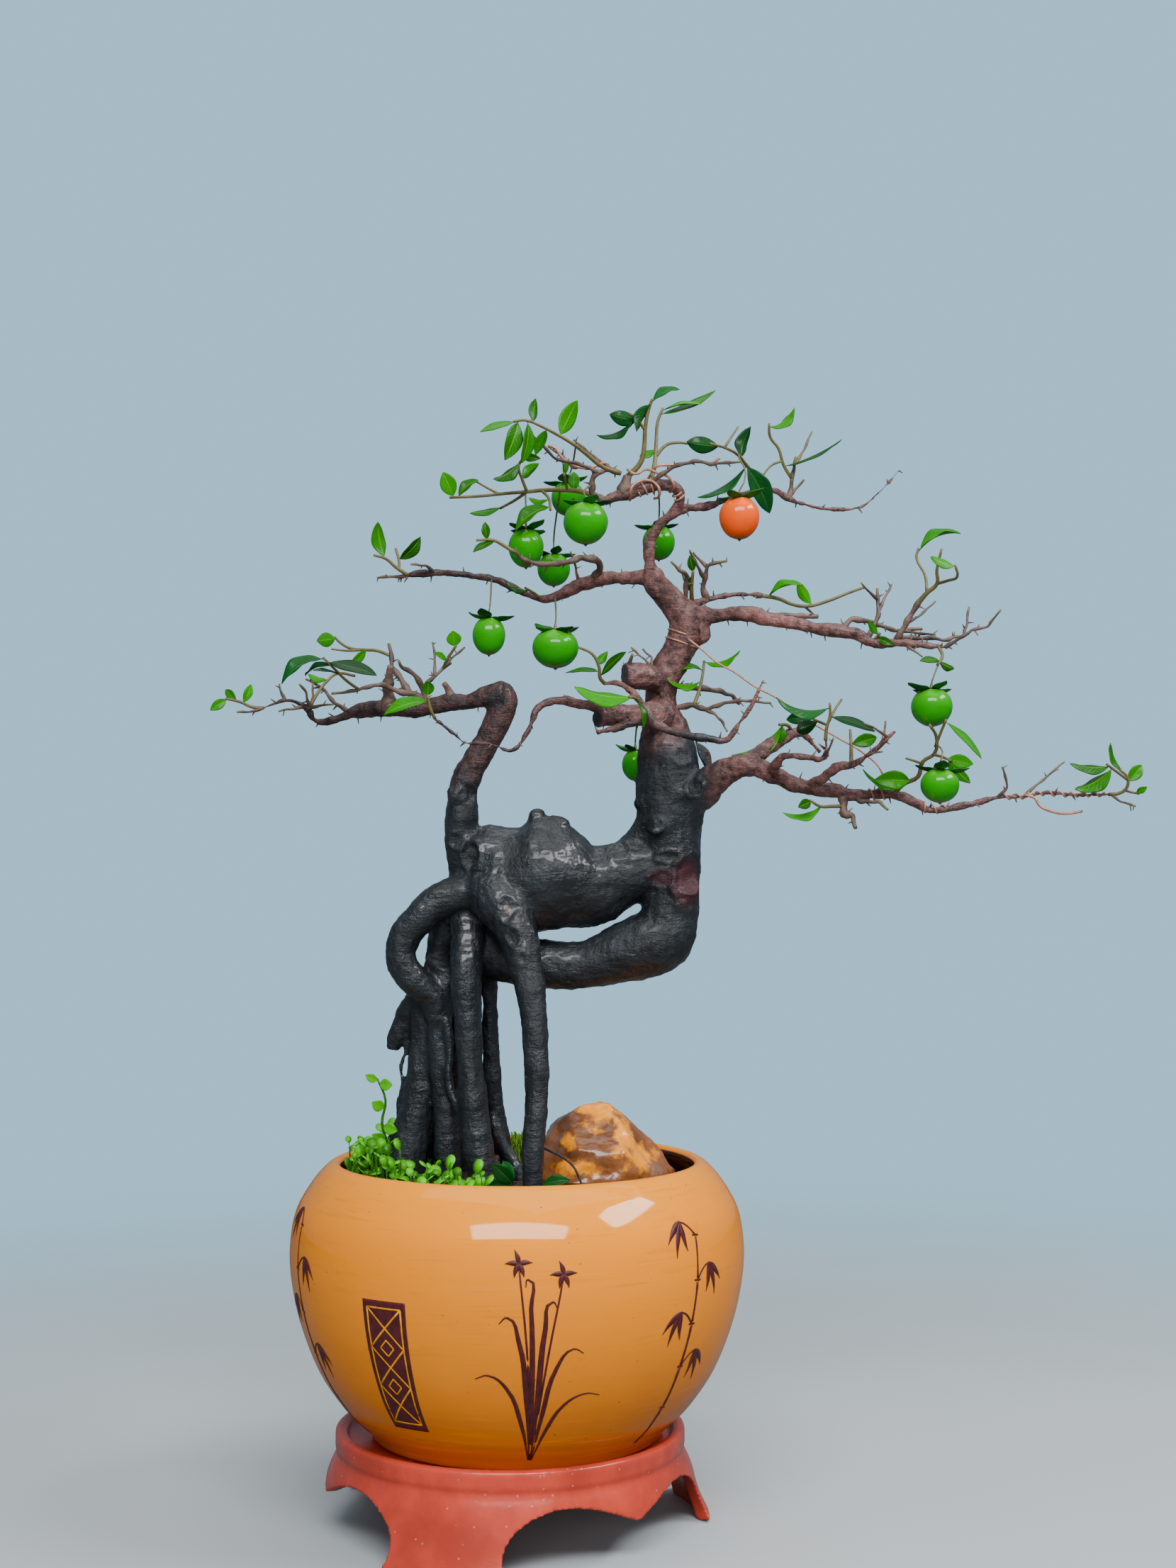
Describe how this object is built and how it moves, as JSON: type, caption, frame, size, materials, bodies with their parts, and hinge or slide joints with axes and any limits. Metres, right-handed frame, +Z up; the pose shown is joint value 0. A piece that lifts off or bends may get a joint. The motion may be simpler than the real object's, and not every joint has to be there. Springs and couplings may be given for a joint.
{
  "type": "fruiting bonsai tree in a round pot",
  "caption": "Fruiting dwarf persimmon bonsai with arching roots and a looped trunk, beside a stone in a round glazed pot on a footed glazed stand.",
  "frame": {"origin": "on the surface under the stand, below the middle of the whole tree's box", "axes": "+Z up; the pictured front faces -Y; +X is the viewer's right"},
  "size_m": [0.5562, 0.2664, 0.667],
  "materials": {
    "stand_glaze": "salmon-red glaze, glossy",
    "pot_glaze": "mustard-yellow glaze, glossy, with incised dark maroon-brown motifs",
    "soil": "dark damp soil, matt",
    "rock": "tan-brown stone, wet and glossy, with orange patches",
    "bark": "near-black grey-green bark, damp, reddish brown on the limbs",
    "wire": "dull brown anodised wire",
    "leaf": "bright green leaf, waxy and glossy",
    "dark_leaf": "dark green leaf, waxy and glossy",
    "calyx": "green calyx and stalk, satin",
    "green_fruit": "unripe green berry, smooth and glossy",
    "ripe_fruit": "ripe orange berry, smooth and glossy",
    "ground_leaf": "light green round leaf, satin"
  },
  "bodies": {
    "root": {"calyx_01": "calyx", "calyx_02": "calyx", "calyx_03": "calyx", "calyx_04": "calyx", "calyx_05": "calyx", "calyx_06": "calyx", "calyx_07": "calyx", "calyx_08": "calyx", "calyx_09": "calyx", "calyx_10": "calyx", "calyx_11": "calyx", "fruit_01": "green_fruit", "fruit_02": "green_fruit", "fruit_03": "green_fruit", "fruit_04": "green_fruit", "fruit_05": "green_fruit", "fruit_06": "green_fruit", "fruit_07": "green_fruit", "fruit_08": "ripe_fruit", "fruit_09": "green_fruit", "fruit_10": "green_fruit", "fruit_11": "green_fruit", "ground_plant_back": "ground_leaf", "ground_plant_front": "ground_leaf", "ground_plant_left": "ground_leaf", "ground_vine": "ground_leaf", "pot": "pot_glaze", "rock": "rock", "shaping_wire": "wire", "soil": "soil", "spray_crown_far_right": "leaf", "spray_crown_inner": "leaf", "spray_crown_left": "leaf", "spray_crown_low": "leaf", "spray_crown_right": "dark_leaf", "spray_crown_top": "dark_leaf", "spray_fork_front": "leaf", "spray_fork_right": "leaf", "spray_fork_top": "dark_leaf", "spray_front_leaf": "leaf", "spray_front_stub": "leaf", "spray_left_curl": "leaf", "spray_left_fan": "leaf", "spray_left_high": "leaf", "spray_left_middle": "dark_leaf", "spray_left_tip": "leaf", "spray_limb_top": "leaf", "spray_low_drop": "leaf", "spray_low_right": "leaf", "spray_middle_right": "leaf", "spray_right_drop": "leaf", "spray_right_tip": "leaf", "spray_right_upright": "leaf", "spray_second_right": "leaf", "spray_thin_branch_tip": "leaf", "spray_upper_left_front": "leaf", "spray_upper_left_tip": "leaf", "spray_yellow_leaf": "leaf", "stand": "stand_glaze", "trunk": "bark"}
  },
  "joints": []
}
